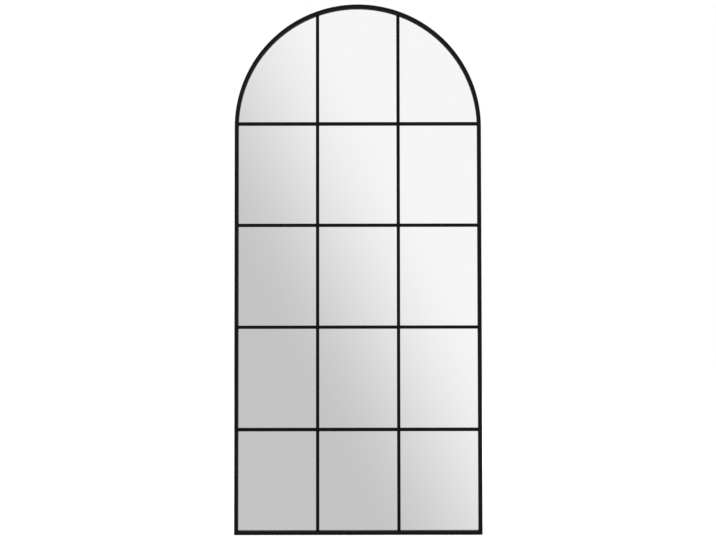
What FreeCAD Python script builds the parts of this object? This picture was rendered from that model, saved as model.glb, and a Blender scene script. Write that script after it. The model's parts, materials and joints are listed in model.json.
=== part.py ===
import FreeCAD, Part

import math
import os

# Arched window mirror: one sheet of mirror glass in a slim metal frame with a half-round top,
# divided into panes by a grille of flat glazing bars that lie on the glass.
# Millimetres, +Z up. The front faces -Y. X = 0 is the middle of the width, Z = 0 is the underside
# of the bottom rail, and Y = 0 is halfway through the depth, bumpers included.
# A section is drawn in two directions: "in" runs from the frame's outer edge towards the glass,
# and "depth" runs from the frame's front face towards the wall.

# Outside of the frame
width = 838.0
height = 1800.0

# Frame section: a hollow box in front, a rebate for the glass, a key channel that opens to the back
face_width = 12.5
box_depth = 10.0
wall = 1.4
face_chamfer = 0.7
channel_height = 3.4
channel_reach = 10.2
channel_slot = 5.0

# Glass and what is packed behind it
glass_thickness = 4.0
tape_thickness = 1.0
board_thickness = 5.0
clip_gap = 2.8
edge_clearance = 1.6
tape_width = 12.0
tape_set_in = 6.0
tape_strip_gap = 16.0
tape_strip_count = 10
block_length = 50.0
block_spacing = 420.0

# Grille
bar_width = 11.0
bar_thickness = 6.0
bar_chamfer = 0.6
column_count = 3
row_count = 4
top_bar_rise = 11.0
bar_end_gap = 0.05
lap_clearance = 0.05
tenon_width = 7.0
tenon_thickness = 3.0
tenon_length = 3.0
tenon_set_back = 0.5
slot_clearance = 0.12

# Joints of the frame
key_leg = 46.0
key_clearance = 0.1
key_chamfer = 2.0
tail_spare = 16.0
key_screw_radius = 2.0
key_screw_length = 3.8
key_screw_distance = 28.0
thread_clearance = 0.05

# Spring clips between the backing board and the channel
clip_length = 56.0
clip_width = 11.0
clip_thickness = 0.5
clip_seat = 0.03
stile_clip_heights = (180.0, 470.0, 760.0, 1050.0)
arch_clip_angles = (22.0, 68.0, 112.0, 158.0)
rail_clip_spacing = 460.0

# Strap hangers and their rings
hanger_spacing = 540.0
hanger_rise = 59.0
strap_width = 14.0
strap_length = 52.0
strap_thickness = 1.2
strap_hole_radius = 1.9
curl_sweep = 245.0
ring_wire_radius = 1.5
ring_half_width = 11.0
ring_leg = 7.0
ring_corner = 3.0
ring_joint_gap = 0.4
ring_clearance = 0.2
ring_sides = 6
screw_radius = 1.7
screw_head_radius = 3.3
screw_head_height = 1.5
screw_depth = 4.2
screw_pitch = 18.0

# Wall bumpers
bumper_radius = 4.0
bumper_height = 3.0
low_bumper_height = 110.0
high_bumper_angle = 52.0

# Worked out from the sizes above
outer_radius = width / 2
spring_z = height - outer_radius
glass_inset = wall + edge_clearance
tape_depth = box_depth + glass_thickness
board_depth = tape_depth + tape_thickness
board_back = board_depth + board_thickness
channel_depth = board_back + clip_gap
key_depth = channel_depth + wall
frame_depth = key_depth + channel_height + wall
front_y = -(frame_depth + bumper_height) / 2
tail_length = key_leg + tail_spare
joint_z = spring_z - tail_length
bar_depth = box_depth - bar_thickness
channel_middle = channel_reach / 2
pane_width = (width - 2 * face_width - (column_count - 1) * bar_width) / column_count
column_pitch = pane_width + bar_width
row_pitch = (spring_z + top_bar_rise + bar_width / 2 - face_width) / row_count

OUT = "parts"
Y_AXIS = FreeCAD.Vector(0, 1, 0)
ORIGIN = FreeCAD.Vector(0, 0, 0)


def at(x, depth, z):
    """Point at a depth behind the front face."""
    return FreeCAD.Vector(x, front_y + depth, z)


def arc(start, middle, end):
    """Edge of a circle through three points."""
    return Part.Arc(start, middle, end).toShape()


def outline_face(edges):
    """Plane face inside edges given in any order."""
    return Part.Face(Part.Wire(Part.__sortEdges__(edges)))


def section_face(path):
    """Plane face at z = 0 inside a closed path of points (x, depth)."""
    points = [at(x, depth, 0) for x, depth in path]
    return Part.Face(Part.makePolygon(points + points[:1]))


def block(x_span, depth_span, z_span):
    """Rectangular solid between pairs of limits."""
    low = at(x_span[0], depth_span[0], z_span[0])
    sides = (span[1] - span[0] for span in (x_span, depth_span, z_span))
    return Part.makeBox(*sides, low)


def bore(radius, x, z, depth_span):
    """Cylinder along Y between two depths."""
    return Part.makeCylinder(radius, depth_span[1] - depth_span[0], at(x, depth_span[0], z), Y_AXIS)


def seated(shape, x, z, turn):
    """Copy of a shape drawn on a left-hand outer edge at x = 0, put on the frame's edge.

    A turn of 0 is the left stile, 90 the crown of the arch, 180 the right stile, -90 the bottom rail.
    """
    moved = shape.copy()
    moved.rotate(ORIGIN, Y_AXIS, turn)
    moved.translate(FreeCAD.Vector(x, 0, z))
    return moved


def on_left(shape, z):
    """Copy on the left stile."""
    return seated(shape, -width / 2, z, 0)


def on_right(shape, z):
    """Copy on the right stile, turned half round."""
    return seated(shape, width / 2, z, 180)


def on_rail(shape, x):
    """Copy on the bottom rail."""
    return seated(shape, x, 0, -90)


def on_arch(shape, angle):
    """Copy on the arch, at an angle above its left-hand springing point."""
    turn = math.radians(angle)
    x = -outer_radius * math.cos(turn)
    return seated(shape, x, spring_z + outer_radius * math.sin(turn), angle)


def mirrored(shape):
    """The same piece on the other side of the middle."""
    return shape.mirror(ORIGIN, FreeCAD.Vector(1, 0, 0))


def arched_plate(inset, depth, thickness):
    """Sheet with the frame's outline drawn in by inset, its front at a depth."""
    half = width / 2 - inset
    corners = [at(-half, depth, inset), at(half, depth, inset)]
    corners += [at(half, depth, spring_z), at(-half, depth, spring_z)]
    edges = [Part.LineSegment(corners[i], corners[i + 1]).toShape() for i in (0, 1)]
    edges.append(arc(corners[2], at(0, depth, spring_z + half), corners[3]))
    edges.append(Part.LineSegment(corners[3], corners[0]).toShape())
    return outline_face(edges).extrude(FreeCAD.Vector(0, thickness, 0))


# ---- frame ----

def frame_section():
    """Face of the frame's section on a left-hand outer edge at x = 0, in the plane z = 0.

    The key channel's slot lies between two lips that hold the keys when their screws are tightened.
    """
    reach = channel_reach
    lip_depth = frame_depth - wall
    lips = [channel_middle + side * channel_slot / 2 for side in (-1, 1)]
    path = [(face_chamfer, 0), (face_width - face_chamfer, 0), (face_width, face_chamfer)]
    path += [(face_width, box_depth), (wall, box_depth), (wall, channel_depth), (reach, channel_depth)]
    path += [(reach, frame_depth), (lips[1], frame_depth), (lips[1], lip_depth), (reach - wall, lip_depth)]
    path += [(reach - wall, key_depth), (wall, key_depth), (wall, lip_depth), (lips[0], lip_depth)]
    path += [(lips[0], frame_depth), (0, frame_depth), (0, face_chamfer)]
    hollow = [(wall, wall), (face_width - wall, wall), (face_width - wall, box_depth - wall)]
    hollow.append((wall, box_depth - wall))
    return section_face(path).cut(section_face(hollow)).Faces[0]


def mitre_cutter(start_z, side):
    """Wedge that leaves a mitred end: side 1 at the lower end of a length, -1 at its upper end."""
    reach = 2 * max(face_width, channel_reach)
    corners = [(-reach, -reach), (reach, -reach), (reach, reach)]
    points = [at(inward, -wall, start_z + side * along) for inward, along in corners]
    face = Part.Face(Part.makePolygon(points + points[:1]))
    return face.extrude(FreeCAD.Vector(0, frame_depth + 2 * wall, 0))


def tenon_slots():
    """Clearance slots for every bar end, as the bars' tenons grown by the slot clearance."""
    grow = slot_clearance
    depth = bar_depth + tenon_set_back
    room = arched_plate(face_width - tenon_length - grow, depth - grow, tenon_thickness + 2 * grow)
    reach = tenon_width / 2 + grow
    span = (depth - grow, depth + tenon_thickness + grow)
    cutters = [block((x - reach, x + reach), span, (0, height)) for x in bar_columns()]
    cutters += [block((-width, width), span, (z - reach, z + reach)) for z in bar_rows()]
    return Part.Compound([room.common(cutter) for cutter in cutters])


def frame_pieces():
    """Arch with straight tails, two stiles and the bottom rail."""
    section = frame_section()
    slots = tenon_slots()
    left_stile = on_left(section.extrude(FreeCAD.Vector(0, 0, joint_z)).cut(mitre_cutter(0, 1)), 0)
    rail = section.extrude(FreeCAD.Vector(0, 0, width)).cut([mitre_cutter(0, 1), mitre_cutter(width, -1)])
    left_tail = on_left(section.extrude(FreeCAD.Vector(0, 0, tail_length)), joint_z)
    bend = on_left(section, spring_z).revolve(at(0, 0, spring_z), Y_AXIS, 180)
    arch = bend.fuse([left_tail, mirrored(left_tail)]).removeSplitter()

    return {
        "frame_arch": arch.cut(slots),
        "frame_left_stile": left_stile.cut(slots),
        "frame_right_stile": mirrored(left_stile).cut(slots),
        "frame_bottom_rail": on_rail(rail, width / 2).cut(slots),
    }


# ---- keys that join the frame ----

def key_section_limits():
    """Inner and outer limits of a key across the channel, and its two depths."""
    across = (wall + key_clearance, channel_reach - wall - key_clearance)
    through = (key_depth + key_clearance, frame_depth - wall - key_clearance)
    return across, through


def corner_key():
    """Flat L-shaped key for a left-hand lower corner at x = 0."""
    across, through = key_section_limits()
    legs = block(across, through, (across[0], across[0] + key_leg))
    legs = legs.fuse(block((across[0], across[0] + key_leg), through, across)).removeSplitter()
    edge = [line for line in legs.Edges if on_vertical_line(line, across[0], across[0])]
    legs = legs.makeChamfer(key_chamfer, edge)
    radius = key_screw_radius + thread_clearance
    places = [(channel_middle, key_screw_distance), (key_screw_distance, channel_middle)]
    return legs.cut([bore(radius, x, z, through) for x, z in places])


def on_vertical_line(line, x, z):
    """Whether an edge runs along Y through x and z."""
    ends = [point.Point for point in line.Vertexes]
    return all(abs(end.x - x) < 1e-6 and abs(end.z - z) < 1e-6 for end in ends)


def splice_key():
    """Flat straight key on a left-hand edge at x = 0, its middle at z = 0."""
    across, through = key_section_limits()
    bar = block(across, through, (-key_leg, key_leg))
    radius = key_screw_radius + thread_clearance
    return bar.cut([bore(radius, channel_middle, side * key_screw_distance, through) for side in (-1, 1)])


def set_screw(x, z):
    """Set screw: its tip bears on the channel's front wall and its end shows in the slot."""
    return bore(key_screw_radius, x, z, (key_depth, key_depth + key_screw_length))


def key_pieces():
    """Four keys and their set screws."""
    left_corner = on_left(corner_key(), 0)
    left_splice = on_left(splice_key(), joint_z)
    left = channel_middle - width / 2
    along = key_screw_distance
    screws = [set_screw(left, z) for z in (along, joint_z - along, joint_z + along)]
    screws.append(set_screw(along - width / 2, channel_middle))
    return {
        "corner_key_left": left_corner,
        "corner_key_right": mirrored(left_corner),
        "splice_key_left": left_splice,
        "splice_key_right": mirrored(left_splice),
        "key_set_screws": Part.Compound(screws + [mirrored(screw) for screw in screws]),
    }


# ---- grille ----

def bar_columns():
    """Middles of the upright bars, which leave columns of equal clear width."""
    first = -(column_count - 2) * column_pitch / 2
    return [first + i * column_pitch for i in range(column_count - 1)]


def bar_rows():
    """Middles of the cross bars, top one first, which leave rows of equal clear height below it."""
    top = spring_z + top_bar_rise
    return [top - i * row_pitch for i in range(row_count)]


def bar_stock(length):
    """Flat bar with two chamfered front edges, along Z from z = 0, its middle at x = 0."""
    half = bar_width / 2
    shoulder = bar_depth + bar_chamfer
    path = [(-half, shoulder), (-half, box_depth), (half, box_depth), (half, shoulder)]
    path += [(half - bar_chamfer, bar_depth), (bar_chamfer - half, bar_depth)]
    return section_face(path).extrude(FreeCAD.Vector(0, 0, length))


def tenon_stock(length):
    """Narrow core of a bar that runs on into the slots at both ends."""
    half = tenon_width / 2
    start = bar_depth + tenon_set_back
    return block((-half, half), (start, start + tenon_thickness), (0, length))


def fitted_bar(stock, tenon):
    """Bar trimmed to the frame's inner outline, with tenons that reach into its slots."""
    body = stock.common(arched_plate(face_width + bar_end_gap, 0, box_depth))
    core = tenon.common(arched_plate(face_width - tenon_length, 0, box_depth))
    return body.fuse(core).removeSplitter()


def lap_notches(xs, zs, depth_span):
    """One block for each crossing, as wide as a bar and its lap clearance."""
    reach = bar_width / 2 + lap_clearance
    return [block((x - reach, x + reach), depth_span, (z - reach, z + reach)) for x in xs for z in zs]


def grille_pieces():
    """Upright bars notched from behind and cross bars notched from the front, halved over each other."""
    half_depth = bar_depth + bar_thickness / 2
    behind = (half_depth - lap_clearance, box_depth)
    in_front = (0, half_depth + lap_clearance)
    upright, upright_core = bar_stock(height), tenon_stock(height)
    level, level_core = bar_stock(width), tenon_stock(width)
    pieces = {}
    for number, x in enumerate(bar_columns(), 1):
        stock, core = seated(upright, x, 0, 0), seated(upright_core, x, 0, 0)
        notches = lap_notches([x], bar_rows(), behind)
        pieces[f"upright_bar_{number}"] = fitted_bar(stock, core).cut(notches)
    for number, z in enumerate(bar_rows(), 1):
        stock, core = seated(level, width / 2, z, -90), seated(level_core, width / 2, z, -90)
        notches = lap_notches(bar_columns(), [z], in_front)
        pieces[f"cross_bar_{number}"] = fitted_bar(stock, core).cut(notches)
    return pieces


# ---- glass and what is packed behind it ----

def tape_pieces():
    """Straight strips of foam tape between glass and board, set in from the edge."""
    outer = glass_inset + tape_set_in
    inner = outer + tape_width
    span = (tape_depth, tape_depth + tape_thickness)
    left = block((outer - width / 2, inner - width / 2), span, (inner, spring_z - tape_width))
    foot = width / 2 - inner - tape_width
    half = (math.pi * (outer_radius - outer) / tape_strip_count - tape_strip_gap) / 2
    strip = block((outer, inner), span, (-half, half))
    step = 180 / tape_strip_count
    strips = [on_arch(strip, step * (i + 0.5)) for i in range(tape_strip_count)]
    middle = tape_width / 2
    return {
        "tape_arch": Part.Compound(strips),
        "tape_left": left,
        "tape_right": mirrored(left),
        "tape_bottom": block((-foot, foot), span, (outer, inner)),
        "tape_middle": block((-middle, middle), span, (inner + tape_width, height - inner - tape_width)),
    }


def packing_pieces():
    """Mirror glass, backing board with pilot holes, and the blocks that both stand on."""
    glass = arched_plate(glass_inset, box_depth, glass_thickness)
    board = arched_plate(glass_inset, board_depth, board_thickness)
    hole = (board_back - screw_depth, board_back + wall)
    radius = screw_radius + thread_clearance
    board = board.cut([bore(radius, x, z, hole) for x, z in screw_places()])
    half = block_length / 2
    middle = block_spacing / 2
    seat = block((middle - half, middle + half), (box_depth, board_back), (wall, glass_inset))
    return {
        "mirror_glass": glass,
        "backing_board": board,
        "setting_block_left": mirrored(seat),
        "setting_block_right": seat,
    }


def spring_clip():
    """Bowed steel strip on a left-hand edge at x = 0.

    Its middle bears on the board and its ends on the channel's front wall.
    """
    half = clip_length / 2
    low = board_back + clip_seat
    high = channel_depth - clip_seat
    start = glass_inset
    ends = [at(start, high - clip_thickness, side * half) for side in (-1, 1)]
    tips = [at(start, high, side * half) for side in (-1, 1)]
    edges = [arc(ends[0], at(start, low, 0), ends[1])]
    edges.append(arc(tips[0], at(start, low + clip_thickness, 0), tips[1]))
    edges += [Part.LineSegment(ends[i], tips[i]).toShape() for i in (0, 1)]
    return outline_face(edges).extrude(FreeCAD.Vector(clip_width, 0, 0))


def clip_piece():
    """All spring clips: along both stiles, round the arch and on the bottom rail."""
    clip = spring_clip()
    clips = [on_left(clip, z) for z in stile_clip_heights]
    clips += [on_right(clip, z) for z in stile_clip_heights]
    clips += [on_arch(clip, angle) for angle in arch_clip_angles]
    clips += [on_rail(clip, side * rail_clip_spacing / 2) for side in (-1, 1)]
    return {"spring_clips": Part.Compound(clips)}


# ---- hangers ----

def ring_axis():
    """Depth and height of the rings' hinge axis: the curl of the strap stands on the board."""
    return board_back + strap_thickness + ring_clearance + ring_wire_radius, spring_z + hanger_rise


def screw_places():
    """Middles of the strap screws, as (x, z). The lower one is the centre of the strap's round end."""
    low = ring_axis()[1] - strap_length + strap_width / 2
    return [(side * hanger_spacing / 2, low + i * screw_pitch) for side in (-1, 1) for i in (0, 1)]


def strap(x):
    """Strap of flat steel with its upper end curled round the ring's straight side."""
    axis_depth, axis_z = ring_axis()
    inner = ring_wire_radius + ring_clearance
    outer = inner + strap_thickness
    start = x - strap_width / 2

    def on_curl(radius, sweep):
        turn = math.radians(sweep)
        return at(start, axis_depth - radius * math.cos(turn), axis_z + radius * math.sin(turn))

    foot = [at(start, board_back + side, axis_z - strap_length) for side in (0, strap_thickness)]
    edges = [arc(on_curl(r, 0), on_curl(r, curl_sweep / 2), on_curl(r, curl_sweep)) for r in (inner, outer)]
    edges.append(Part.LineSegment(on_curl(inner, curl_sweep), on_curl(outer, curl_sweep)).toShape())
    edges.append(Part.LineSegment(on_curl(outer, 0), foot[0]).toShape())
    edges.append(Part.LineSegment(foot[0], foot[1]).toShape())
    edges.append(Part.LineSegment(foot[1], on_curl(inner, 0)).toShape())
    bent = outline_face(edges).extrude(FreeCAD.Vector(strap_width, 0, 0))

    half = strap_width / 2
    through = (board_back, axis_depth + outer)
    low = axis_z - strap_length + half
    upper = block((x - half, x + half), through, (low, axis_z + outer))
    round_end = bore(half, x, low, through).fuse(upper)
    holes = [bore(strap_hole_radius, cx, cz, through) for cx, cz in screw_places() if cx * x > 0]
    return bent.common(round_end).cut(holes)


def ring(x):
    """D-shaped wire ring that hangs from the curl, its two ends meeting inside the strap.

    The wire's section is a regular polygon with its corners on the wire's round outline and a side to
    the front.
    """
    axis_depth, axis_z = ring_axis()
    half, corner = ring_half_width, ring_corner
    bend = corner * (1 - math.sqrt(0.5))

    def point(side, out, down):
        return at(x + side * out, axis_depth, axis_z - down)

    edges = []
    for side in (-1, 1):
        top = [point(side, ring_joint_gap / 2, 0), point(side, half - corner, 0)]
        leg = [point(side, half, corner), point(side, half, corner + ring_leg)]
        edges.append(Part.LineSegment(*top).toShape())
        edges.append(arc(top[1], point(side, half - bend, bend), leg[0]))
        edges.append(Part.LineSegment(*leg).toShape())
    low = corner + ring_leg
    edges.append(arc(point(-1, half, low), point(1, 0, low + half), point(1, half, low)))
    path = Part.Wire(Part.__sortEdges__(edges))
    start = point(-1, ring_joint_gap / 2, 0)
    turns = [math.tau * (i + 0.5) / ring_sides for i in range(ring_sides)]
    rim = [FreeCAD.Vector(0, ring_wire_radius * math.cos(a), ring_wire_radius * math.sin(a)) for a in turns]
    section = Part.makePolygon([start + step for step in rim + rim[:1]])
    return path.makePipeShell([section], True, False)


def wood_screw(x, z):
    """Screw with a low round head; its plain shank stands in the board."""
    seat = board_back + strap_thickness
    shank = bore(screw_radius, x, z, (board_back - screw_depth, seat))
    return shank.fuse(bore(screw_head_radius, x, z, (seat, seat + screw_head_height))).removeSplitter()


def hanger_pieces():
    """Two straps, two rings and the screws."""
    side = hanger_spacing / 2
    return {
        "hanger_strap_left": strap(-side),
        "hanger_strap_right": strap(side),
        "hanger_ring_left": ring(-side),
        "hanger_ring_right": ring(side),
        "hanger_screws": Part.Compound([wood_screw(x, z) for x, z in screw_places()]),
    }


def bumper_piece():
    """Four round rubber bumpers that meet the wall: two low on the stiles and two up on the arch."""
    bumper = bore(bumper_radius, channel_middle, 0, (frame_depth, frame_depth + bumper_height))
    bumpers = [on_left(bumper, low_bumper_height), on_right(bumper, low_bumper_height)]
    bumpers += [on_arch(bumper, angle) for angle in (high_bumper_angle, 180 - high_bumper_angle)]
    return {"wall_bumpers": Part.Compound(bumpers)}


def main():
    """Build every piece, write one file for each and print its solids and volume."""
    os.makedirs(OUT, exist_ok=True)
    groups = [frame_pieces(), key_pieces(), grille_pieces(), tape_pieces(), packing_pieces()]
    groups += [clip_piece(), hanger_pieces(), bumper_piece()]
    for group in groups:
        for name, shape in group.items():
            shape.exportStep(os.path.join(OUT, name + ".step"))
            print(f"{name}: {len(shape.Solids)} solid(s), {shape.Volume:.0f} mm3, valid {shape.isValid()}")


main()
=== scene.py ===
"""Looks of the arched window mirror: finishes, finely made hardware, studio light and camera."""
import json
import logging
import math
from dataclasses import dataclass
from enum import Enum
from typing import Any, Protocol, Sequence

import bpy
import numpy as np
from mathutils import Matrix, Vector


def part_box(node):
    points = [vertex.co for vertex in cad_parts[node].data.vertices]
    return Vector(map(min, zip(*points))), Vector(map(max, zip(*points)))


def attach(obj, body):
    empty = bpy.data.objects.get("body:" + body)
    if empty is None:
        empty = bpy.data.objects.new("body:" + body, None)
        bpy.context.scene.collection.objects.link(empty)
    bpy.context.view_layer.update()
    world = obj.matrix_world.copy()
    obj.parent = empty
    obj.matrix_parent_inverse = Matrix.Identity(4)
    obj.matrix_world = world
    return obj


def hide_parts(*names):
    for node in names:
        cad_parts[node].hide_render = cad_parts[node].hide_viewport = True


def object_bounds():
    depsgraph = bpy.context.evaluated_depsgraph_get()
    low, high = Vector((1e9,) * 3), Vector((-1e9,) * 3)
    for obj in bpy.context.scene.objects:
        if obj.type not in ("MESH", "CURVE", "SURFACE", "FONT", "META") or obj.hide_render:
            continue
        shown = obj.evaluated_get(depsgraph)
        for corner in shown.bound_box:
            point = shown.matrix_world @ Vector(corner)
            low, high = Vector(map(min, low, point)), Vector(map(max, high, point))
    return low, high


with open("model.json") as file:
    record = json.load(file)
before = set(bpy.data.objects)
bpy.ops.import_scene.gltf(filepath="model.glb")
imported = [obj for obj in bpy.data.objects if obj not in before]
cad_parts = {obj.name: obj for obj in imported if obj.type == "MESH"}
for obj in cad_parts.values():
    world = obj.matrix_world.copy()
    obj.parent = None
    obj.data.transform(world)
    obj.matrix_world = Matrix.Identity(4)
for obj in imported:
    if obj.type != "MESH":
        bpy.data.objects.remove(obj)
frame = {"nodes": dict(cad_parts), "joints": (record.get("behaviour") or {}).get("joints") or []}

CAD_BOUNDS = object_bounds()
MM = 0.001
LOG = logging.getLogger("arched_window_mirror")

Triple = tuple[float, float, float]
Colour = Triple


class Body(Enum):
    """The bodies that a piece can ride on."""

    MIRROR = "mirror"
    RING_LEFT = "ring_left"
    RING_RIGHT = "ring_right"


class Side(Enum):
    """Left or right half of the mirror, seen from the front, as a sign along X."""

    LEFT = -1
    RIGHT = 1


# ---- surfaces ----

@dataclass
class Surface:
    """Closed skin of a piece: its points, its four-sided faces and its three-sided faces."""

    points: np.ndarray
    quads: np.ndarray
    triangles: np.ndarray

    @classmethod
    def through_rings(cls, rings: np.ndarray, start: Sequence[float], end: Sequence[float]) -> "Surface":
        """Skin over a stack of closed rings, drawn to a point at each end.

        Face (i, j) joins points j and j + 1 of ring i to those of ring i + 1, and a fan of triangles
        closes the first ring to the start point and the last ring to the end point.

        Args:
            rings: Points as an array of (rings, points in a ring, 3).
            start: Point that closes the first ring.
            end: Point that closes the last ring.

        Returns:
            The closed surface, with its faces outwards.
        """
        rows, count = rings.shape[:2]
        around = np.arange(count)
        after = (around + 1) % count
        base = np.arange(rows - 1)[:, None] * count
        quads = np.stack([base + around, base + after, base + count + after, base + count + around], axis=-1)
        last = (rows - 1) * count
        first_fan = np.stack([np.full(count, rows * count), after, around], axis=-1)
        last_fan = np.stack([np.full(count, rows * count + 1), last + around, last + after], axis=-1)
        points = np.concatenate([rings.reshape(-1, 3), [start], [end]])
        return cls(points, quads.reshape(-1, 4), np.concatenate([first_fan, last_fan])).outwards()

    @classmethod
    def joined(cls, parts: Sequence["Surface"]) -> "Surface":
        """Several skins as one, each still closed by itself.

        Args:
            parts: The skins to put together.

        Returns:
            One surface that holds all their points and faces.
        """
        starts = np.cumsum([0] + [len(part.points) for part in parts])
        points = np.concatenate([part.points for part in parts])
        quads = np.concatenate([part.quads + start for part, start in zip(parts, starts)])
        triangles = np.concatenate([part.triangles + start for part, start in zip(parts, starts)])
        return cls(points, quads, triangles)

    def volume(self) -> float:
        """Sum over all triangles of a . (b x c) / 6, which is positive when the faces point outwards."""
        halves = [self.quads[:, [0, 1, 2]], self.quads[:, [0, 2, 3]], self.triangles]
        a, b, c = np.moveaxis(self.points[np.concatenate(halves)], 1, 0)
        return float(np.einsum("ij,ij->", a, np.cross(b, c)) / 6)

    def outwards(self) -> "Surface":
        """The same skin with its faces turned so that they point outwards."""
        if self.volume() >= 0:
            return self
        return Surface(self.points, self.quads[:, ::-1], self.triangles[:, ::-1])

    def moved(self, matrix: Matrix) -> "Surface":
        """A copy carried to another place.

        Args:
            matrix: The turn and shift, as a 4 by 4 matrix.

        Returns:
            The carried copy, with its faces outwards.
        """
        full = np.array(matrix)
        points = self.points @ full[:3, :3].T + full[:3, 3]
        return Surface(points, self.quads, self.triangles).outwards()

    def piece(self, name: str, crease: float = math.radians(38)) -> bpy.types.Object:
        """A mesh object of this skin, smooth except along its creases.

        Args:
            name: The object's name.
            crease: Angle between faces above which their shared edge stays sharp.

        Returns:
            The new object, at the origin.
        """
        mesh = bpy.data.meshes.new(name)
        mesh.from_pydata(self.points.tolist(), [], self.quads.tolist() + self.triangles.tolist())
        mesh.polygons.foreach_set("use_smooth", np.ones(len(mesh.polygons), dtype=bool))
        mesh.set_sharp_from_angle(angle=crease)
        mesh.update()
        made = bpy.data.objects.new(name, mesh)
        bpy.context.scene.collection.objects.link(made)
        return made


def ease(start: float, end: float, value: np.ndarray) -> np.ndarray:
    """Smooth step: 0 before start, 1 after end, and 3t^2 - 2t^3 between them."""
    t = np.clip((value - start) / (end - start), 0, 1)
    return t * t * (3 - 2 * t)


def turned_rings(radius: np.ndarray, height: np.ndarray, count: int) -> np.ndarray:
    """Rings about the Y axis: point j of ring i is (r cos a, h, r sin a), with a = 2 pi j / count.

    Args:
        radius: Radius of each ring, or of each point as an array of (rings, count).
        height: Place of each ring or point along Y.
        count: Points in a ring.

    Returns:
        Points as an array of (rings, count, 3).
    """
    turn = np.linspace(0, math.tau, count, endpoint=False)[None, :]
    across = np.broadcast_to(radius if radius.ndim == 2 else radius[:, None], (len(radius), count))
    along = np.broadcast_to(height if height.ndim == 2 else height[:, None], (len(height), count))
    return np.stack([across * np.cos(turn), along, across * np.sin(turn)], axis=-1)


def bent_path(stretches: Sequence[tuple[float, float]], heading: float, step: float) -> np.ndarray:
    """Plane path of straight and evenly bent stretches.

    Along a bent stretch the heading grows evenly with the length, which gives an arc of radius
    R = length / turn, so that a point lies at start + R (sin h - sin h0, cos h0 - cos h).

    Args:
        stretches: Length and turn of each stretch, in metres and radians.
        heading: Heading at the start, in radians from the first axis towards the second.
        step: Largest turn between two points, in radians.

    Returns:
        Array of (points, 3): the two plane coordinates and the heading.
    """
    rows = [np.array([[0.0, 0.0, heading]])]
    for length, turn in stretches:
        along = np.linspace(0, 1, max(1, math.ceil(abs(turn) / step)) + 1)[1:]
        first, second, start = rows[-1][-1]
        angle = start + turn * along
        if turn:
            bend = length / turn
            first = first + bend * (np.sin(angle) - math.sin(start))
            second = second + bend * (math.cos(start) - np.cos(angle))
        else:
            first = first + length * along * math.cos(start)
            second = second + length * along * math.sin(start)
        rows.append(np.stack([first, second, angle], axis=-1))
    return np.concatenate(rows)


def edge_place(side: Side, height: float, half_width: float) -> Matrix:
    """Where a part drawn on a left-hand outer edge goes on a stile.

    Args:
        side: The stile.
        height: Height of the part on it.
        half_width: Half of the mirror's width.

    Returns:
        The turn and shift.
    """
    turn = 0 if side is Side.LEFT else math.pi
    return Matrix.Translation((side.value * half_width, 0, height)) @ Matrix.Rotation(turn, 4, "Y")


def arch_place(angle: float, half_width: float, spring: float) -> Matrix:
    """Where a part drawn on a left-hand outer edge goes on the arch.

    Args:
        angle: Angle above the left-hand springing point, in degrees.
        half_width: Radius of the arch's outer edge.
        spring: Height of the springing line.

    Returns:
        The turn and shift.
    """
    turn = math.radians(angle)
    place = (-half_width * math.cos(turn), 0, spring + half_width * math.sin(turn))
    return Matrix.Translation(place) @ Matrix.Rotation(turn, 4, "Y")


# ---- finishes ----

def shade(colour: Colour, factor: float) -> Colour:
    """A colour made lighter or darker by a factor."""
    return tuple(factor * part for part in colour)


class Graph:
    """Shader nodes of a material or of the world."""

    def __init__(self, tree: bpy.types.NodeTree) -> None:
        """Empty a node tree, to fill it anew.

        Args:
            tree: The tree.
        """
        self.tree = tree
        self.tree.nodes.clear()

    def node(self, kind: str, inputs: dict[str | int, Any] | None = None, **settings: Any) -> bpy.types.Node:
        """Add a node.

        Args:
            kind: Blender's name of the node type.
            inputs: Value or linked socket for each input that isn't left as it is.
            settings: Properties of the node.

        Returns:
            The new node.
        """
        made = self.tree.nodes.new(kind)
        for name, value in settings.items():
            setattr(made, name, value)
        self.fill(made, inputs or {})
        return made

    def fill(self, node: bpy.types.Node, inputs: dict[str | int, Any]) -> None:
        """Set or link inputs of a node.

        Args:
            node: The node to change.
            inputs: Value or socket for each input.
        """
        for name, value in inputs.items():
            if isinstance(value, bpy.types.NodeSocket):
                self.tree.links.new(value, node.inputs[name])
            else:
                node.inputs[name].default_value = value

    def maths(self, operation: str, first: Any, second: Any = 0.0) -> Any:
        """Result of an operation on one or two values.

        Args:
            operation: Blender's name of the operation.
            first: First value, a number or a socket.
            second: Second value, where the operation has one.

        Returns:
            The socket with the result.
        """
        return self.node("ShaderNodeMath", {0: first, 1: second}, operation=operation).outputs[0]

    def span(
        self, value: Any, low: float, high: float, start: float = 0.3, end: float = 0.7, smooth: bool = False
    ) -> Any:
        """Value carried from one range to another, with its ends held.

        Args:
            value: Socket with the value.
            low: Result at the start of the range.
            high: Result at its end.
            start: Value at which the range starts.
            end: Value at which it ends.
            smooth: Whether the result eases in and out.

        Returns:
            The socket with the result.
        """
        limits = {"Value": value, "From Min": start, "From Max": end, "To Min": low, "To Max": high}
        kind = "SMOOTHSTEP" if smooth else "LINEAR"
        return self.node("ShaderNodeMapRange", limits, interpolation_type=kind).outputs[0]


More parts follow.
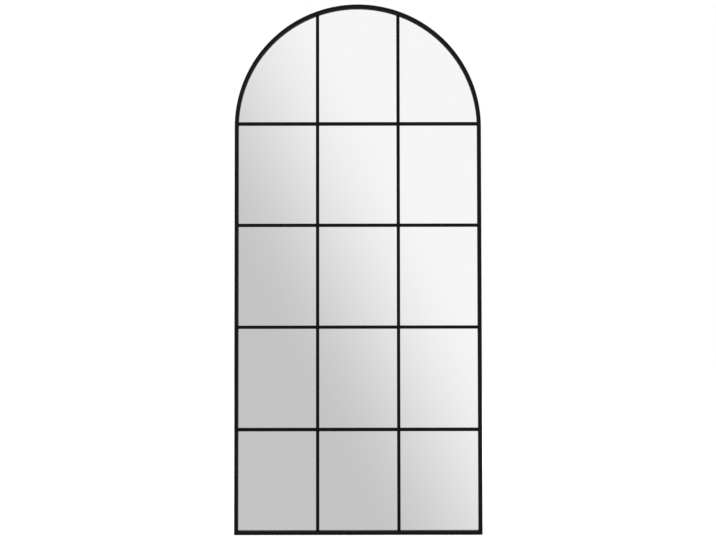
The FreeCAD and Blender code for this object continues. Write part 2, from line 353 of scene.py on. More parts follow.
class SurfaceGraph(Graph):
    """Nodes of a new material, ending in a Principled surface."""

    def __init__(self, name: str) -> None:
        """Start a material with a Principled surface and object coordinates.

        Args:
            name: The material's name.
        """
        self.material = bpy.data.materials.new(name)
        self.material.use_nodes = True
        super().__init__(self.material.node_tree)
        self.surface = self.node("ShaderNodeBsdfPrincipled")
        self.node("ShaderNodeOutputMaterial", {"Surface": self.surface.outputs["BSDF"]})
        self.place = self.node("ShaderNodeTexCoord").outputs["Object"]

    def noise(
        self,
        size: float,
        detail: float = 2.0,
        stretch: Triple = (1, 1, 1),
        shift: float = 0.0,
        turn: float = 0.0,
    ) -> Any:
        """Noise whose patches are about one size across, in metres, and stretched along an axis.

        Args:
            size: Size of a patch.
            detail: Number of finer layers.
            stretch: How many times longer the patches are along each axis.
            shift: Distance that sets one noise apart from another.
            turn: Turn of the axes about Y, in radians.

        Returns:
            The socket with values from 0 to 1.
        """
        place = self.place
        if turn:
            about = {"Vector": place, "Rotation": (0, turn, 0)}
            place = self.node("ShaderNodeMapping", about).outputs[0]
        scale = [1 / (size * part) for part in stretch]
        placing = {"Vector": place, "Location": (shift,) * 3, "Scale": scale}
        mapped = self.node("ShaderNodeMapping", placing).outputs[0]
        return self.node("ShaderNodeTexNoise", {"Vector": mapped, "Scale": 1.0, "Detail": detail}).outputs[0]

    def blend(self, share: Any, first: Any, second: Any) -> Any:
        """Colour between two colours, by a share from 0 to 1."""
        mix = self.node("ShaderNodeMix", data_type="RGBA")
        sockets = [socket for socket in mix.inputs if socket.enabled]
        for socket, value in zip(sockets, (share, first, second)):
            if isinstance(value, bpy.types.NodeSocket):
                self.tree.links.new(value, socket)
            else:
                socket.default_value = (*value, 1.0) if isinstance(value, tuple) else value
        return next(socket for socket in mix.outputs if socket.enabled)

    def relief(self, height: Any, depth: float, strength: float, rounding: float = 0.0) -> None:
        """Bump the surface, and soften its edges.

        Args:
            height: Height map from 0 to 1.
            depth: Depth of the relief in metres.
            strength: Share of the relief that is used.
            rounding: Radius over which sharp edges look rounded.
        """
        bump = self.node("ShaderNodeBump", {"Height": height, "Distance": depth, "Strength": strength})
        if rounding:
            bevel = self.node("ShaderNodeBevel", {"Radius": rounding}, samples=4)
            self.fill(bump, {"Normal": bevel.outputs[0]})
        self.fill(self.surface, {"Normal": bump.outputs[0]})


class Finish(Protocol):
    """Anything that can make the material of a piece."""

    name: str

    def material(self) -> bpy.types.Material:
        """Make the material."""


@dataclass(frozen=True)
class PowderCoat:
    """Baked powder paint: a fine pebbled skin that is a little uneven in gloss and tone."""

    name: str
    colour: Colour
    roughness: float = 0.5
    specular: float = 0.055
    grain: float = 0.5 * MM
    cloud: float = 60 * MM
    depth: float = 0.03 * MM
    relief_share: float = 0.6
    rounding: float = 0.35 * MM
    palest: float = 1.35
    darkest: float = 0.75
    cloud_gloss: float = 0.05
    grain_gloss: float = 0.04

    def material(self) -> bpy.types.Material:
        """Make the material: tone and gloss follow wide clouds and fine pebbles in equal parts."""
        graph = SurfaceGraph(self.name)
        pebbles = graph.noise(self.grain, 1.5)
        clouds = graph.noise(self.cloud, 3.0, shift=2.0)
        gloss = graph.span(clouds, self.roughness - self.cloud_gloss, self.roughness + self.cloud_gloss)
        unevenness = graph.span(pebbles, -self.grain_gloss, self.grain_gloss)
        tint = graph.maths("ADD", graph.span(clouds, 0, 0.5), graph.span(pebbles, 0, 0.5))
        dark, light = shade(self.colour, self.darkest), shade(self.colour, self.palest)
        graph.fill(graph.surface, {
            "Base Color": graph.blend(tint, dark, light),
            "Roughness": graph.maths("ADD", gloss, unevenness),
            "Specular IOR Level": self.specular,
        })
        graph.relief(pebbles, self.depth, self.relief_share, self.rounding)
        return graph.material


@dataclass(frozen=True)
class Silvering:
    """Mirror glass: a silver face, green cut edges and a coat of dull back paint."""

    name: str
    front: float
    back: float
    silver: Colour = (0.93, 0.93, 0.93)
    wiped: float = 0.994
    edge: Colour = (0.10, 0.24, 0.18)
    paint: Colour = (0.16, 0.19, 0.19)
    haze: float = 90 * MM
    haze_roughness: float = 0.012
    edge_roughness: float = 0.5
    paint_grain: float = 3 * MM
    skin: float = 0.05 * MM
    fade: float = 0.15 * MM

    def material(self) -> bpy.types.Material:
        """Make the material: the depth along Y tells the face, the edge and the back apart."""
        graph = SurfaceGraph(self.name)
        depth = graph.node("ShaderNodeSeparateXYZ", {"Vector": graph.place}).outputs["Y"]
        off_face = graph.span(depth, 0, 1, self.front + self.skin, self.front + self.fade)
        on_back = graph.span(depth, 0, 1, self.back - self.fade, self.back - self.skin)
        haze = graph.noise(self.haze, 4.0)
        face = graph.blend(graph.span(haze, 0, 1), shade(self.silver, self.wiped), self.silver)
        coat = graph.blend(graph.span(graph.noise(self.paint_grain), 0, 1), self.edge, self.paint)
        rest = graph.blend(on_back, self.edge, coat)
        rough = graph.maths("ADD", graph.span(haze, 0, self.haze_roughness), off_face)
        graph.fill(graph.surface, {
            "Base Color": graph.blend(off_face, face, rest),
            "Metallic": graph.span(off_face, 1, 0, 0, 1),
            "Roughness": graph.maths("MINIMUM", rough, self.edge_roughness),
        })
        return graph.material


@dataclass(frozen=True)
class PlatedMetal:
    """Plated or rolled metal: faint streaks along one way and cloudy plating."""

    name: str
    light: Colour
    dark: Colour
    smooth: float
    dull: float
    stretch: Triple = (1, 1, 12)
    streak: float = 0.25 * MM
    depth: float = 0.01 * MM
    relief_share: float = 0.5
    rounding: float = 0.15 * MM
    cloud: float = 7 * MM
    streak_share: float = 0.4

    def material(self) -> bpy.types.Material:
        """Make the material: the streaks set the gloss, and with the clouds the tone."""
        graph = SurfaceGraph(self.name)
        streaks = graph.noise(self.streak, 3.0, self.stretch)
        clouds = graph.noise(self.cloud, 4.0, shift=1.0)
        streak_tint = graph.span(streaks, 0, self.streak_share)
        cloud_tint = graph.span(clouds, 0, 1 - self.streak_share)
        graph.fill(graph.surface, {
            "Base Color": graph.blend(graph.maths("ADD", streak_tint, cloud_tint), self.dark, self.light),
            "Metallic": 1.0,
            "Roughness": graph.span(streaks, self.smooth, self.dull),
        })
        graph.relief(streaks, self.depth, self.relief_share, self.rounding)
        return graph.material


@dataclass(frozen=True)
class Fibreboard:
    """Pressed wood fibre: fine pale and dark fibres that lie every way in a brown sheet."""

    name: str
    pale: Colour = (0.375, 0.245, 0.145)
    brown: Colour = (0.265, 0.160, 0.088)
    fleck: Colour = (0.13, 0.075, 0.04)
    fibre: float = 0.3 * MM
    fibre_stretch: float = 9.0
    fibre_levels: tuple[float, float] = (0.5, 0.78)
    directions: int = 5
    first_turn: float = 0.3
    cloud: float = 140 * MM
    cloud_share: float = 0.3
    mottle: float = 6 * MM
    mottle_share: float = 0.2
    fleck_size: float = 0.8 * MM
    fleck_levels: tuple[float, float] = (0.68, 0.76)
    fleck_share: float = 0.7
    smooth: float = 0.62
    dull: float = 0.8
    depth: float = 0.05 * MM
    relief_share: float = 0.6
    rounding: float = 0.3 * MM

    def fibres(self, graph: SurfaceGraph) -> Any:
        """Noise drawn out along several ways in the sheet, the highest of them at each point.

        Args:
            graph: The material's graph.

        Returns:
            The socket with values from 0 to 1.
        """
        highest = None
        for number in range(self.directions):
            turn = math.pi * (number + self.first_turn) / self.directions
            lying = graph.noise(self.fibre, 3.0, (self.fibre_stretch, 1, 1), shift=3.0 * number, turn=turn)
            highest = lying if highest is None else graph.maths("MAXIMUM", highest, lying)
        return highest

    def material(self) -> bpy.types.Material:
        """Make the material: fibres in a body that darkens in clouds and mottles, with dark flecks."""
        graph = SurfaceGraph(self.name)
        fibres = self.fibres(graph)
        clouds = graph.noise(self.cloud, 5.0, shift=5.0)
        mottle = graph.noise(self.mottle, 3.0, shift=6.0)
        flecks = graph.noise(self.fleck_size, 2.0, (2.5, 1, 1), shift=7.0, turn=0.6)
        body = graph.blend(graph.span(fibres, 0, 1, *self.fibre_levels), self.brown, self.pale)
        shading = (graph.span(clouds, 0, self.cloud_share), graph.span(mottle, 0, self.mottle_share))
        aged = graph.blend(graph.maths("ADD", *shading), body, self.brown)
        flecked = graph.span(flecks, 0, self.fleck_share, *self.fleck_levels)
        graph.fill(graph.surface, {
            "Base Color": graph.blend(flecked, aged, self.fleck),
            "Roughness": graph.span(fibres, self.smooth, self.dull, *self.fibre_levels),
            "Specular IOR Level": 0.3,
        })
        graph.relief(fibres, self.depth, self.relief_share, self.rounding)
        return graph.material


@dataclass(frozen=True)
class Foam:
    """Closed-cell foam: round cells with thin walls."""

    name: str
    colour: Colour = (0.74, 0.74, 0.71)
    # Share of the colour left in the hollow middle of each cell: painted shade.
    hollow_shade: float = 0.8
    cell: float = 0.4 * MM
    cell_levels: tuple[float, float] = (0.0, 0.7)
    depth: float = 0.1 * MM

    def material(self) -> bpy.types.Material:
        """Make the material: the distance from each cell's middle sets gloss, height and a painted shade
        that darkens each cell's hollow middle.
        """
        graph = SurfaceGraph(self.name)
        spread = {"Vector": graph.place, "Scale": 1 / self.cell}
        cells = graph.node("ShaderNodeTexVoronoi", spread).outputs[0]
        walls = graph.span(cells, 0, 1, *self.cell_levels)
        graph.fill(graph.surface, {
            # Painted shade: the colour darkens towards each cell's hollow middle.
            "Base Color": graph.blend(walls, shade(self.colour, self.hollow_shade), self.colour),
            "Roughness": graph.span(cells, 0.95, 0.8, *self.cell_levels),
        })
        graph.relief(cells, self.depth, 0.8)
        return graph.material


@dataclass(frozen=True)
class Rubber:
    """Moulded rubber: matt, slightly bloomed, with a fine mould texture."""

    name: str
    colour: Colour = (0.018, 0.018, 0.019)
    bloom: Colour = (0.045, 0.045, 0.045)
    mould: float = 0.2 * MM
    cloud: float = 3 * MM
    bloom_levels: tuple[float, float] = (0.4, 0.75)
    depth: float = 0.02 * MM
    rounding: float = 0.2 * MM

    def material(self) -> bpy.types.Material:
        """Make the material: bloom in clouds over the colour, and gloss from the mould's texture."""
        graph = SurfaceGraph(self.name)
        mould = graph.noise(self.mould, 2.0)
        clouds = graph.noise(self.cloud, 4.0, shift=4.0)
        graph.fill(graph.surface, {
            "Base Color": graph.blend(graph.span(clouds, 0, 1, *self.bloom_levels), self.colour, self.bloom),
            "Roughness": graph.span(mould, 0.66, 0.85),
            "Specular IOR Level": 0.35,
        })
        graph.relief(mould, self.depth, 0.5, self.rounding)
        return graph.material


@dataclass(frozen=True)
class StudioFloor:
    """Pale painted floor that the camera sees as white and that keeps the mirror's shadow."""

    name: str = "pale_floor"
    colour: Colour = (0.80, 0.80, 0.80)
    shading: float = 0.985
    speckle: float = 40 * MM
    lift: float = 0.505

    def material(self) -> bpy.types.Material:
        """Make the material: paint, with some light of its own that only the camera sees."""
        graph = SurfaceGraph(self.name)
        speckle = graph.span(graph.noise(self.speckle, 3.0), 0, 1)
        camera = graph.node("ShaderNodeLightPath").outputs["Is Camera Ray"]
        graph.fill(graph.surface, {
            "Base Color": graph.blend(speckle, shade(self.colour, self.shading), self.colour),
            "Roughness": 0.9,
            "Specular IOR Level": 0.1,
            "Emission Color": (1, 1, 1, 1),
            "Emission Strength": graph.span(camera, 0, self.lift, 0, 1),
        })
        return graph.material


class Paintbox:
    """Makes each finish once and puts it on pieces."""

    def __init__(self) -> None:
        """Start with no finish made."""
        self.made: dict[str, bpy.types.Material] = {}

    def dress(self, piece: bpy.types.Object, finish: Finish) -> None:
        """Give a piece its finish in every material slot.

        Args:
            piece: The object to dress.
            finish: The finish it gets.
        """
        if finish.name not in self.made:
            self.made[finish.name] = finish.material()
        if not piece.material_slots:
            piece.data.materials.append(self.made[finish.name])
        for slot in piece.material_slots:
            slot.material = self.made[finish.name]
        LOG.info("%s wears %s", piece.name, finish.name)


# ---- sub-assemblies ----

@dataclass
class PieceBook:
    """Puts new pieces on their bodies and in place of the plain solids."""

    paints: Paintbox

    def enter(
        self, surface: Surface, name: str, slot: str, finish: Finish, body: Body, stands_for: str
    ) -> None:
        """Make a new piece, dress it and let it stand for a solid.

        Args:
            surface: The piece's skin.
            name: The piece's name.
            slot: Name of the material slot meant for its finish; not used.
            finish: Its finish.
            body: The body that carries it.
            stands_for: The solid that it replaces.
        """
        piece = surface.piece(name)
        self.paints.dress(piece, finish)
        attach(piece, body.value)
        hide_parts(stands_for)
        LOG.info("%s rides on %s, %d points", name, body.value, len(surface.points))

    def keep(self, nodes: Sequence[str], finish: Finish) -> None:
        """Dress solids whose shape is right as it is.

        Args:
            nodes: Names of the solids.
            finish: The finish that they all get.
        """
        for node in nodes:
            self.paints.dress(frame["nodes"][node], finish)


@dataclass
class OuterFrame:
    """The arch, stiles and bottom rail, the keys in their channel and the bumpers behind them."""

    book: PieceBook
    coat: Finish = PowderCoat("black_frame_coat", (0.0068, 0.0065, 0.0073))
    key_metal: Finish = PlatedMetal(
        "zinc_key", (0.60, 0.61, 0.60), (0.42, 0.43, 0.45), 0.24, 0.42, (12, 1, 1)
    )
    screw_metal: Finish = PlatedMetal(
        "zinc_set_screw", (0.55, 0.55, 0.55), (0.40, 0.40, 0.41), 0.22, 0.34,
        stretch=(1, 1, 1), streak=0.12 * MM, depth=0.004 * MM,
    )
    rubber: Finish = Rubber("bumper_rubber_black")
    screw_radius: float = 2.0 * MM
    screw_length: float = 3.8 * MM
    screw_distance: float = 28.0 * MM
    screw_edge: float = 0.25 * MM
    screw_sides: int = 72
    socket_width: float = 2.0 * MM
    socket_depth: float = 1.7 * MM
    socket_taper: Triple = (0.97, 1.0, 1.08)
    thread_pitch: float = 0.7 * MM
    thread_depth: float = 0.22 * MM
    thread_rows: int = 44
    tip_taper: tuple[float, float] = (0.72, 0.5)
    bumper_height: float = 3.0 * MM
    bumper_radius: float = 4.0 * MM
    bumper_film: float = 0.2 * MM
    bumper_roll: float = 0.7 * MM
    bumper_bulge: float = 0.12 * MM
    bumper_dish: float = 0.15 * MM
    bumper_sides: int = 48
    low_bumper: float = 110.0 * MM
    high_bumper_angle: float = 52.0

    def set_screw(self) -> Surface:
        """Threaded screw along Y with its hexagon socket at y = 0 and its tip at -y.

        The socket's radius is w / cos(b), where w is half its width and b the angle from the middle of
        the nearest side, and it tapers from its mouth to its floor. The thread's radius is
        R - d |2 f - 1|, where f is the fraction of y / pitch minus the turn, so that the crest climbs one
        pitch in a turn.

        Returns:
            The screw's skin.
        """
        count, edge = self.screw_sides, self.screw_edge
        turn = np.linspace(0, math.tau, count, endpoint=False)
        side = np.mod(turn + math.pi / 6, math.pi / 3) - math.pi / 6
        hexagon = self.socket_width / 2 / np.cos(side)
        top = [share * hexagon for share in self.socket_taper] + [np.full(count, self.screw_radius - edge)]
        levels = [-self.socket_depth, -self.socket_depth + edge / 3, -edge / 3, 0.0]
        rows = np.linspace(-edge, edge - self.screw_length, self.thread_rows)[:, None]
        phase = np.mod(rows / self.thread_pitch - turn / math.tau, 1)
        threads = self.screw_radius - self.thread_depth * np.abs(2 * phase - 1)
        tip = np.outer(self.tip_taper, np.full(count, self.screw_radius))
        radius = np.concatenate([np.array(top), threads, tip])
        ends = np.array(levels + rows[:, 0].tolist() + [-self.screw_length, edge - self.screw_length])
        rings = turned_rings(radius, ends, count)
        floor, tip_end = -self.socket_depth, edge * 1.2 - self.screw_length
        return Surface.through_rings(rings, (0, floor, 0), (0, tip_end, 0))

    def set_screws(self) -> Surface:
        """All set screws, one in each leg of the keys."""
        low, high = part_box("key_set_screws")
        edge_x = high.x - self.screw_radius
        inset = low.z + self.screw_radius
        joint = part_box("frame_left_stile")[1].z
        half_width = CAD_BOUNDS[1][0]
        heights = (self.screw_distance, joint - self.screw_distance, joint + self.screw_distance)
        places = [(side.value * edge_x, z) for side in Side for z in heights]
        places += [(side.value * (half_width - self.screw_distance), inset) for side in Side]
        screw = self.set_screw()
        return Surface.joined([screw.moved(Matrix.Translation((x, high.y, z))) for x, z in places])

    def bumper(self) -> Surface:
        """Rubber bumper along Y with its stuck face at y = 0: a turned profile with a rolled edge.

        The profile is a thin film of glue, a side that bulges as a half sine, a quarter round edge and a
        flat that is dished a little towards its middle.

        Returns:
            The bumper's skin.
        """
        height, radius = self.bumper_height, self.bumper_radius
        film, roll = self.bumper_film, self.bumper_roll
        bulge = np.linspace(0, 1, 9)
        side_radius = radius - roll * 0.35 + self.bumper_bulge * np.sin(math.pi * bulge)
        side_height = film + (height - roll - film) * bulge
        quarter = np.linspace(0, math.pi / 2, 9)[1:]
        edge_radius = side_radius[-1] - roll + roll * np.cos(quarter)
        edge_height = height - roll + roll * np.sin(quarter)
        dish = np.array([0.75, 0.5, 0.2])
        dish_radius = edge_radius[-1] * dish
        dish_height = height - self.bumper_dish * (1 - dish)
        rim = np.array([radius * 0.6, radius, radius, side_radius[0]])
        rim_height = np.array([0, 0, film * 0.8, film])
        rings = turned_rings(
            np.concatenate([rim, side_radius, edge_radius, dish_radius]),
            np.concatenate([rim_height, side_height, edge_height, dish_height]),
            self.bumper_sides,
        )
        return Surface.through_rings(rings, (0, 0, 0), (0, height - self.bumper_dish, 0))

    def bumpers(self) -> Surface:
        """The four bumpers, on the lips of the channel."""
        low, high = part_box("wall_bumpers")
        half_width = CAD_BOUNDS[1][0]
        spring = CAD_BOUNDS[1][2] - half_width
        on_edge = Matrix.Translation((half_width - high.x + self.bumper_radius, low.y, 0))
        places = [edge_place(side, self.low_bumper, half_width) for side in Side]
        angles = (self.high_bumper_angle, 180 - self.high_bumper_angle)
        places += [arch_place(angle, half_width, spring) for angle in angles]
        bumper = self.bumper()
        return Surface.joined([bumper.moved(place @ on_edge) for place in places])

    def build(self) -> None:
        """Dress the frame and make its small parts."""
        members = ["frame_arch", "frame_left_stile", "frame_right_stile", "frame_bottom_rail"]
        self.book.keep(members, self.coat)
        keys = ["corner_key_left", "corner_key_right", "splice_key_left", "splice_key_right"]
        self.book.keep(keys, self.key_metal)
        self.book.enter(
            self.set_screws(), "socket_screws", "screw_zinc", self.screw_metal, Body.MIRROR, "key_set_screws"
        )
        self.book.enter(
            self.bumpers(), "rubber_bumpers", "bumper_rubber", self.rubber, Body.MIRROR, "wall_bumpers"
        )


@dataclass
class Grille:
    """The flat bars in front of the glass."""

    book: PieceBook
    # The bars wear the frame's black powder coat made darker: painted shade on the bars, not a different
    # paint.
    coat: Finish = PowderCoat("black_bar_coat_painted_shade", (0.0054, 0.0052, 0.0058), roughness=0.55)
    upright_count: int = 2
    cross_count: int = 4

    def build(self) -> None:
        """Dress the bars."""
        bars = [f"upright_bar_{i + 1}" for i in range(self.upright_count)]
        bars += [f"cross_bar_{i + 1}" for i in range(self.cross_count)]
        self.book.keep(bars, self.coat)


@dataclass
class Glazing:
    """The mirror glass, what is packed behind it and the clips that press on it."""

    book: PieceBook
    board: Finish = Fibreboard("brown_fibreboard")
    foam: Finish = Foam("pale_foam_tape")
    rubber: Finish = Rubber("setting_block_rubber", (0.024, 0.024, 0.024))
    steel: Finish = PlatedMetal(
        "blued_spring_steel", (0.30, 0.33, 0.40), (0.15, 0.17, 0.22), 0.2, 0.4, (1, 1, 14)
    )
    clip_length: float = 56.0 * MM
    clip_width: float = 11.0 * MM
    clip_thickness: float = 0.5 * MM
    clip_corner: float = 0.12 * MM
    clip_stations: int = 57
    foot_length: float = 6.0 * MM
    foot_taper: float = 1.6 * MM
    stile_clips: tuple[float, ...] = (180.0 * MM, 470.0 * MM, 760.0 * MM, 1050.0 * MM)
    arch_clips: tuple[float, ...] = (22.0, 68.0, 112.0, 158.0)
    rail_clip: float = 230.0 * MM

    def clip(self) -> Surface:
        """Leaf spring on a left-hand edge, along Z about z = 0.

        Its middle line is a wave: depth = low + (high - low) (1 - cos(pi z / half length)) / 2, flat in
        the middle, where it bears on the board, and at its two feet. The section is a strip whose
        corners are quarter rounds, and it is narrower at the feet.

        Returns:
            The clip's skin.
        """
        low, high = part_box("spring_clips")
        inset = low.x - CAD_BOUNDS[0][0]
        half = self.clip_length / 2
        along = np.linspace(-half, half, self.clip_stations)
        thick = self.clip_thickness / 2
        rise = (high.y - low.y - 2 * thick) / 2
        depth = low.y + thick + rise * (1 - np.cos(math.pi * along / half))
        slope = rise * math.pi / half * np.sin(math.pi * along / half)
        corner = self.clip_corner
        quarter = np.linspace(0, math.pi / 2, 4)
        turn = np.concatenate([quarter + k * math.pi / 2 for k in range(4)])
        narrowing = self.foot_taper * ease(half - self.foot_length, half, np.abs(along))
        reach = self.clip_width / 2 - corner - narrowing
        across = reach[:, None] * np.repeat([1, -1, -1, 1], 4) + corner * np.cos(turn)
        through = (thick - corner) * np.repeat([1, 1, -1, -1], 4) + corner * np.sin(turn)
        lean = np.hypot(1, slope)[:, None]
        rings = np.stack([
            inset + self.clip_width / 2 + across,
            depth[:, None] + through / lean,
            along[:, None] - through * slope[:, None] / lean,
        ], axis=-1)
        middle = inset + self.clip_width / 2
        return Surface.through_rings(rings, (middle, depth[0], along[0]), (middle, depth[-1], along[-1]))

    def clips(self) -> Surface:
        """All clips, on the stiles, round the arch and on the bottom rail."""
        half_width = CAD_BOUNDS[1][0]
        spring = CAD_BOUNDS[1][2] - half_width
        places = [edge_place(side, height, half_width) for side in Side for height in self.stile_clips]
        places += [arch_place(angle, half_width, spring) for angle in self.arch_clips]
        down = Matrix.Rotation(-math.pi / 2, 4, "Y")
        places += [Matrix.Translation((side.value * self.rail_clip, 0, 0)) @ down for side in Side]
        clip = self.clip()
        return Surface.joined([clip.moved(place) for place in places])

    def build(self) -> None:
        """Dress the glass and its packing, and make the clips."""
        low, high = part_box("mirror_glass")
        self.book.keep(["mirror_glass"], Silvering("silvered_glass", low.y, high.y))
        self.book.keep(["backing_board"], self.board)
        tapes = ["tape_arch", "tape_left", "tape_right", "tape_bottom", "tape_middle"]
        self.book.keep(tapes, self.foam)
        self.book.keep(["setting_block_left", "setting_block_right"], self.rubber)
        self.book.enter(
            self.clips(), "leaf_springs", "spring_steel", self.steel, Body.MIRROR, "spring_clips"
        )


@dataclass
class Hangers:
    """The two strap hangers, their rings and their screws."""

    book: PieceBook
    strap_metal: Finish = PlatedMetal("zinc_strap", (0.66, 0.66, 0.62), (0.54, 0.55, 0.54), 0.27, 0.37)
    wire_metal: Finish = PlatedMetal(
        "nickel_wire", (0.74, 0.72, 0.68), (0.60, 0.58, 0.54), 0.1, 0.24, depth=0.004 * MM
    )
    screw_metal: Finish = PlatedMetal(
        "zinc_wood_screw", (0.62, 0.61, 0.55), (0.50, 0.49, 0.45), 0.24, 0.34,
        stretch=(1, 1, 1), streak=0.12 * MM, depth=0.004 * MM,
    )
    wire_radius: float = 1.5 * MM
    wire_sides: int = 28
    wire_step: float = math.radians(4)
    wire_end: float = 0.86
    ring_half_width: float = 11.0 * MM
    ring_corner: float = 3.0 * MM
    ring_leg: float = 7.0 * MM
    ring_gap: float = 0.4 * MM
    screw_radius: float = 1.7 * MM
    head_radius: float = 3.3 * MM
    head_height: float = 1.5 * MM
    head_rim: float = 0.5
    head_sides: int = 96
    head_rows: int = 40
    recess_width: float = 0.95 * MM
    recess_reach: float = 1.75 * MM
    recess_depth: float = 1.1 * MM
    recess_wall: float = 0.12 * MM
    recess_slope: float = 0.55
    shank_length: float = 3.4 * MM
    tip_reach: float = 4.1 * MM
    screw_turns: tuple[float, ...] = (0.35, 1.1, 0.8, 0.1)

    def ring(self, centre: Vector) -> Surface:
        """Round wire bent to a D: half of the straight side, a corner, a leg, the bow, and back.

        Args:
            centre: Middle of the straight side, on the hinge axis.

        Returns:
            The ring's skin.
        """
        straight = (self.ring_half_width - self.ring_corner - self.ring_gap / 2, 0.0)
        corner = (self.ring_corner * math.pi / 2, math.pi / 2)
        leg = (self.ring_leg, 0.0)
        bow = (self.ring_half_width * math.pi, math.pi)
        path = bent_path([straight, corner, leg, bow, leg, corner, straight], math.pi, self.wire_step)
        turn = np.linspace(0, math.tau, self.wire_sides, endpoint=False)[None, :]
        radius = np.full((len(path), 1), self.wire_radius)
        radius[[0, -1]] *= self.wire_end
        x, z, heading = path[:, 0:1], path[:, 1:2], path[:, 2:3]
        rings = np.stack([
            centre.x - self.ring_gap / 2 + x - radius * np.cos(turn) * np.sin(heading),
            centre.y + radius * np.sin(turn) + 0 * x,
            centre.z + z + radius * np.cos(turn) * np.cos(heading),
        ], axis=-1)
        return Surface.through_rings(rings, rings[0].mean(axis=0), rings[-1].mean(axis=0))

    def wood_screw(self) -> Surface:
        """Round-headed wood screw along Y with its seat at y = 0 and its head towards +y.

        The head's top is a dome, rim + (height - rim)(1 - u^2) at the share u of its radius, less a cross
        recess that is deepest in the middle and has steep walls at the edges of its four arms. The
        profile goes on down the head's side to the shank and its tip.

        Returns:
            The screw's skin.
        """
        turn = np.linspace(0, math.tau, self.head_sides, endpoint=False)[None, :]
        share = np.linspace(0.03, 1, self.head_rows)[:, None]
        rim = self.head_rim * self.head_height
        dome = rim + (self.head_height - rim) * (1 - share**2)
        radius = self.head_radius * 0.97 * share * np.ones_like(turn)
        off_arm = np.minimum(np.abs(radius * np.cos(turn)), np.abs(radius * np.sin(turn)))
        half, reach, wall = self.recess_width / 2, self.recess_reach, self.recess_wall
        in_arm = ease(half + wall, half - wall, off_arm) * ease(reach + wall, reach - wall, radius)
        top = dome - in_arm * self.recess_depth * (1 - self.recess_slope * (radius / reach) ** 2)
        profile = np.array([
            (self.head_radius, 0.85 * rim),
            (self.head_radius, 0.25 * rim),
            (0.96 * self.head_radius, 0.0),
            (self.screw_radius, 0.0),
            (self.screw_radius, -self.shank_length),
            (0.1 * MM, -self.tip_reach),
        ])
        radius = np.concatenate([radius, profile[:, :1] * np.ones_like(turn)])
        height = np.concatenate([top, profile[:, 1:] * np.ones_like(turn)])
        rings = turned_rings(radius, height, self.head_sides)
        return Surface.through_rings(rings, (0, top[0].mean(), 0), (0, -self.tip_reach - 0.05 * MM, 0))

    def wood_screws(self) -> Surface:
        """The four screws of the straps, each with its recess turned its own way."""
        low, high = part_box("hanger_screws")
        edge_x = high.x - self.head_radius
        heights = (low.z + self.head_radius, high.z - self.head_radius)
        seat = high.y - self.head_height
        places = [(side.value * edge_x, z) for side in Side for z in heights]
        screw = self.wood_screw()
        moves = [
            Matrix.Translation((x, seat, z)) @ Matrix.Rotation(turn, 4, "Y")
            for (x, z), turn in zip(places, self.screw_turns)
        ]
        return Surface.joined([screw.moved(move) for move in moves])

    def build(self) -> None:
        """Dress the straps and make rings and screws."""
        self.book.keep(["hanger_strap_left", "hanger_strap_right"], self.strap_metal)
        axes = {joint["child"]: Vector(joint["pos_m"]) for joint in frame["joints"]}
        for body in (Body.RING_LEFT, Body.RING_RIGHT):
            wire = self.ring(axes[body.value])
            node = f"hanger_{body.value}"
            self.book.enter(wire, f"{body.value}_wire", "ring_nickel", self.wire_metal, body, node)
        self.book.enter(
            self.wood_screws(), "wood_screws", "screw_zinc", self.screw_metal, Body.MIRROR, "hanger_screws"
        )


# ---- studio ----

@dataclass(frozen=True)
class Lamp:
    """Square soft lamp: its place and side in metres, its power in watts, and whether glass mirrors it."""

    name: str
    place: Triple
    size: float
    power: float
    in_glass: bool

    def hang(self, aim: Vector) -> None:
        """Hang the lamp and point it.

        Args:
            aim: What it points at.
        """
        light = bpy.data.lights.new(self.name, "AREA")
        light.shape = "SQUARE"
        light.size = self.size
        light.energy = self.power
        holder = bpy.data.objects.new(self.name, light)
        bpy.context.scene.collection.objects.link(holder)
        place = Vector(self.place)
        turn = (aim - place).to_track_quat("-Z", "Y").to_matrix().to_4x4()
        holder.matrix_world = Matrix.Translation(place) @ turn
        holder.visible_glossy = self.in_glass
        holder.visible_camera = False


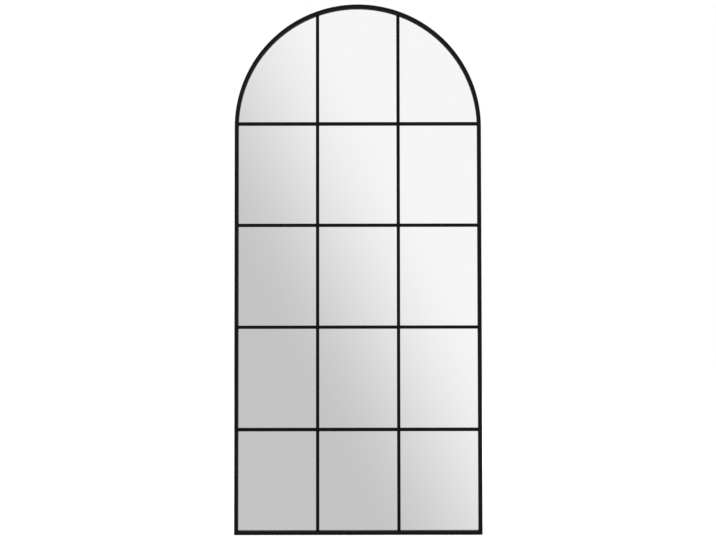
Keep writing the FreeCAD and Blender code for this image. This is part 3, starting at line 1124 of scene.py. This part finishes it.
@dataclass
class Studio:
    """Floor, soft light, and a surrounding that is white to the camera and a soft grey ramp in the glass."""

    floor_half: float = 9.0
    floor_drop: float = 0.2 * MM
    fill_level: float = 0.62
    dark_level: float = 0.592
    light_level: float = 0.991
    ramp_start: float = -0.106
    ramp_length: float = 0.2149
    ramp_lean: float = 0.508
    wave_start: float = 0.32
    wave_width: float = 0.36
    back_span: tuple[float, float] = (0.0, 0.6)
    low_span: tuple[float, float] = (-0.5, 0.15)
    low_change: float = -0.38
    lamp_aim: Triple = (0, 0, 0.9)
    lamps: tuple[Lamp, ...] = (
        Lamp("key_lamp", (-2.6, -3.6, 3.4), 2.6, 95, False),
        Lamp("fill_lamp", (3.0, -3.0, 2.4), 2.6, 55, False),
        Lamp("back_lamp", (1.8, 3.4, 3.0), 1.8, 90, True),
    )

    def floor(self) -> None:
        """Lay a wide floor under the mirror that the glass doesn't mirror."""
        far = self.floor_half
        corners = [(-far, -far), (far, -far), (far, far), (-far, far)]
        mesh = bpy.data.meshes.new("studio_floor")
        mesh.from_pydata([(x, y, -self.floor_drop) for x, y in corners], [], [(0, 1, 2, 3)])
        ground = bpy.data.objects.new("studio_floor", mesh)
        bpy.context.scene.collection.objects.link(ground)
        mesh.materials.append(StudioFloor().material())
        ground.visible_glossy = False

    def mirrored_level(self, graph: Graph) -> Any:
        """Level of the surrounding in glass and metal, by the direction (x, y, z) in which it lies.

        The level follows s = x + lean z, by a smooth step from dark to light over the ramp. Further to
        the sides it goes down and up again as a cosine of |s|, as soft as the ramp. Behind the mirror it
        is darker low down.

        Args:
            graph: The world's graph.

        Returns:
            The socket with the level.
        """
        direction = graph.node("ShaderNodeTexCoord").outputs["Generated"]
        way = graph.node("ShaderNodeSeparateXYZ", {0: direction}).outputs
        slope = graph.maths("ADD", way["X"], graph.maths("MULTIPLY", way["Z"], self.ramp_lean))
        ramp_end = self.ramp_start + self.ramp_length
        ramp = graph.span(slope, self.dark_level, self.light_level, self.ramp_start, ramp_end, smooth=True)
        aside = graph.maths("SUBTRACT", graph.maths("ABSOLUTE", slope), self.wave_start)
        phase = graph.maths("MULTIPLY", graph.maths("MAXIMUM", aside, 0.0), math.pi / self.wave_width)
        wave = graph.maths("SUBTRACT", graph.maths("COSINE", phase), 1.0)
        change = graph.maths("MULTIPLY", wave, (self.light_level - self.dark_level) / 2)
        waved = graph.maths("ADD", ramp, graph.maths("MULTIPLY", change, graph.maths("SIGN", slope)))
        behind = graph.span(way["Y"], 0.0, 1.0, *self.back_span, smooth=True)
        low_down = graph.span(way["Z"], self.low_change, 0.0, *self.low_span, smooth=True)
        return graph.maths("ADD", waved, graph.maths("MULTIPLY", behind, low_down))

    def surrounding(self) -> None:
        """Fill the world: white to the camera, graded in glass and metal, and even for matt surfaces."""
        world = bpy.data.worlds.new("studio")
        bpy.context.scene.world = world
        world.use_nodes = True
        graph = Graph(world.node_tree)
        path = graph.node("ShaderNodeLightPath").outputs
        mirrored = graph.maths("MAXIMUM", path["Is Glossy Ray"], path["Is Transmission Ray"])
        matt = graph.maths("MULTIPLY", graph.maths("SUBTRACT", 1.0, mirrored), self.fill_level)
        level = graph.maths("ADD", graph.maths("MULTIPLY", self.mirrored_level(graph), mirrored), matt)
        shown = graph.maths("MAXIMUM", level, path["Is Camera Ray"])
        background = graph.node("ShaderNodeBackground", {"Color": shown}).outputs[0]
        graph.node("ShaderNodeOutputWorld", {"Surface": background})

    def build(self) -> None:
        """Set up floor, surrounding and lamps."""
        self.floor()
        self.surrounding()
        for lamp in self.lamps:
            lamp.hang(Vector(self.lamp_aim))
        LOG.info("studio is set")


@dataclass
class Viewpoint:
    """Camera at the photograph's viewing angle."""

    distance: float = 3.5
    across: float = -0.0031
    height: float = 0.8080
    pitch: float = math.radians(1.396)
    yaw: float = math.radians(-0.050)
    roll: float = math.radians(0.071)
    focal_pixels: float = 1032.6
    image_width: int = 716
    sensor_width: float = 36.0

    def build(self) -> None:
        """Place the camera, at its distance in front of the frame's front face."""
        data = bpy.data.cameras.new("view")
        data.sensor_fit = "HORIZONTAL"
        data.sensor_width = self.sensor_width
        data.lens = self.focal_pixels * self.sensor_width / self.image_width
        data.clip_end = 60.0
        camera = bpy.data.objects.new("view", data)
        bpy.context.scene.collection.objects.link(camera)
        place = (self.across, CAD_BOUNDS[0][1] - self.distance, self.height)
        turn = Matrix.Rotation(self.yaw, 4, "Z") @ Matrix.Rotation(math.pi / 2 + self.pitch, 4, "X")
        camera.matrix_world = Matrix.Translation(place) @ turn @ Matrix.Rotation(-self.roll, 4, "Z")
        bpy.context.scene.camera = camera
        LOG.info("camera stands %.3f m in front of the frame", self.distance)


def main() -> None:
    """Dress the mirror, make its small parts and set up the studio."""
    logging.basicConfig(level=logging.INFO, format="%(name)s: %(message)s")
    bpy.context.scene.view_settings.view_transform = "Standard"
    Viewpoint().build()
    book = PieceBook(Paintbox())
    for assembly in (OuterFrame(book), Grille(book), Glazing(book), Hangers(book)):
        assembly.build()
        LOG.info("%s is built", type(assembly).__name__)
    Studio().build()


if __name__ == "__main__":
    main()
